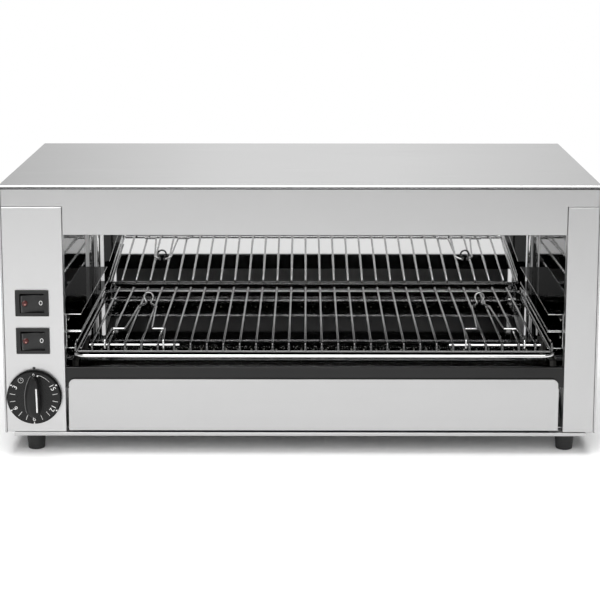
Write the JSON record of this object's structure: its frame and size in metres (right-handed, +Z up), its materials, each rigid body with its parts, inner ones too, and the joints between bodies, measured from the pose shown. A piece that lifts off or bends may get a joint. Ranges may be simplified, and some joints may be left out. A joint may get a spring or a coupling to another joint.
{
  "type": "counter-top toaster",
  "caption": "Wide stainless toaster grill with an open front, a sliding wire rack on folding handles, quartz tube heaters, rocker switches, a timer dial and a crumb tray.",
  "frame": {"origin": "middle of the whole toaster in plan, at the bottom of the rubber feet", "axes": "+X to the right seen from the front, +Y from the open front to the back, +Z up"},
  "size_m": [0.592, 0.3459, 0.2748],
  "materials": {
    "stainless_sheet": "satin stainless",
    "plain_sheet": "plain bright sheet",
    "chromed_wire": "bright chrome plated",
    "screw_steel": "zinc plated",
    "black_rubber": "matte moulded",
    "quartz": "clear quartz",
    "resistance_wire": "oxidised",
    "white_ceramic": "unglazed",
    "black_plastic": "fine grained",
    "pale_plastic": "moulded",
    "red_lens": "clear red"
  },
  "bodies": {
    "housing": {"top_cover": "stainless_sheet", "front_fascia": "stainless_sheet", "control_panel": "stainless_sheet", "right_column": "stainless_sheet", "left_side_panel": "stainless_sheet", "right_side_panel": "stainless_sheet", "back_panel": "plain_sheet", "base_plate": "plain_sheet", "chamber_left_wall": "plain_sheet", "chamber_right_wall": "plain_sheet", "chamber_back_wall": "plain_sheet", "chamber_ceiling": "plain_sheet", "left_lower_guide": "plain_sheet", "left_upper_guide": "plain_sheet", "right_lower_guide": "plain_sheet", "right_upper_guide": "plain_sheet", "left_tray_runner": "plain_sheet", "right_tray_runner": "plain_sheet", "upper_guard_rods": "chromed_wire", "back_panel_screws": "screw_steel", "rubber_feet": "black_rubber", "lower_front_heating_tube": "quartz", "lower_rear_heating_tube": "quartz", "upper_front_heating_tube": "quartz", "upper_rear_heating_tube": "quartz", "heater_cores": "resistance_wire", "lower_front_insulators": "white_ceramic", "lower_rear_insulators": "white_ceramic", "upper_front_insulators": "white_ceramic", "upper_rear_insulators": "white_ceramic", "timer_body": "black_plastic", "cable_gland": "black_plastic", "gland_locknut": "black_plastic", "upper_switch_housing": "black_plastic", "lower_switch_housing": "black_plastic", "terminal_block": "pale_plastic"},
    "rack": {"rack_frame": "chromed_wire", "rack_grid": "chromed_wire", "rack_cross_wires": "chromed_wire"},
    "left_handle": {"left_rack_handle": "chromed_wire"},
    "right_handle": {"right_rack_handle": "chromed_wire"},
    "crumb_tray": {"crumb_tray_pan": "plain_sheet", "crumb_tray_front": "stainless_sheet"},
    "upper_rocker": {"upper_switch_rocker": "black_plastic", "upper_switch_lamp": "red_lens"},
    "lower_rocker": {"lower_switch_rocker": "black_plastic", "lower_switch_lamp": "red_lens"},
    "timer_dial": {"timer_knob": "black_plastic", "timer_shaft": "screw_steel"}
  },
  "joints": [
    {"name": "rack_slide", "type": "slide", "parent": "housing", "child": "rack", "axis": [0, -1, 0], "range_m": [0, 0.2]},
    {"name": "left_handle_hinge", "type": "hinge", "parent": "rack", "child": "left_handle", "pos_m": [-0.16485, -0.15, 0.1143], "axis": [1, 0, 0], "range_deg": [0, 35]},
    {"name": "right_handle_hinge", "type": "hinge", "parent": "rack", "child": "right_handle", "pos_m": [0.19375, -0.15, 0.1143], "axis": [1, 0, 0], "range_deg": [0, 35]},
    {"name": "crumb_tray_slide", "type": "slide", "parent": "housing", "child": "crumb_tray", "axis": [0, -1, 0], "range_m": [0, 0.2]},
    {"name": "upper_rocker_pivot", "type": "hinge", "parent": "housing", "child": "upper_rocker", "pos_m": [-0.2655, -0.1466, 0.1566], "axis": [0, 0, -1], "range_deg": [0, 18]},
    {"name": "lower_rocker_pivot", "type": "hinge", "parent": "housing", "child": "lower_rocker", "pos_m": [-0.2655, -0.1466, 0.1182], "axis": [0, 0, -1], "range_deg": [0, 18]},
    {"name": "timer_turn", "type": "hinge", "parent": "housing", "child": "timer_dial", "pos_m": [-0.2653, -0.15, 0.0612], "axis": [0, 1, 0], "range_deg": [-40, 300]}
  ]
}
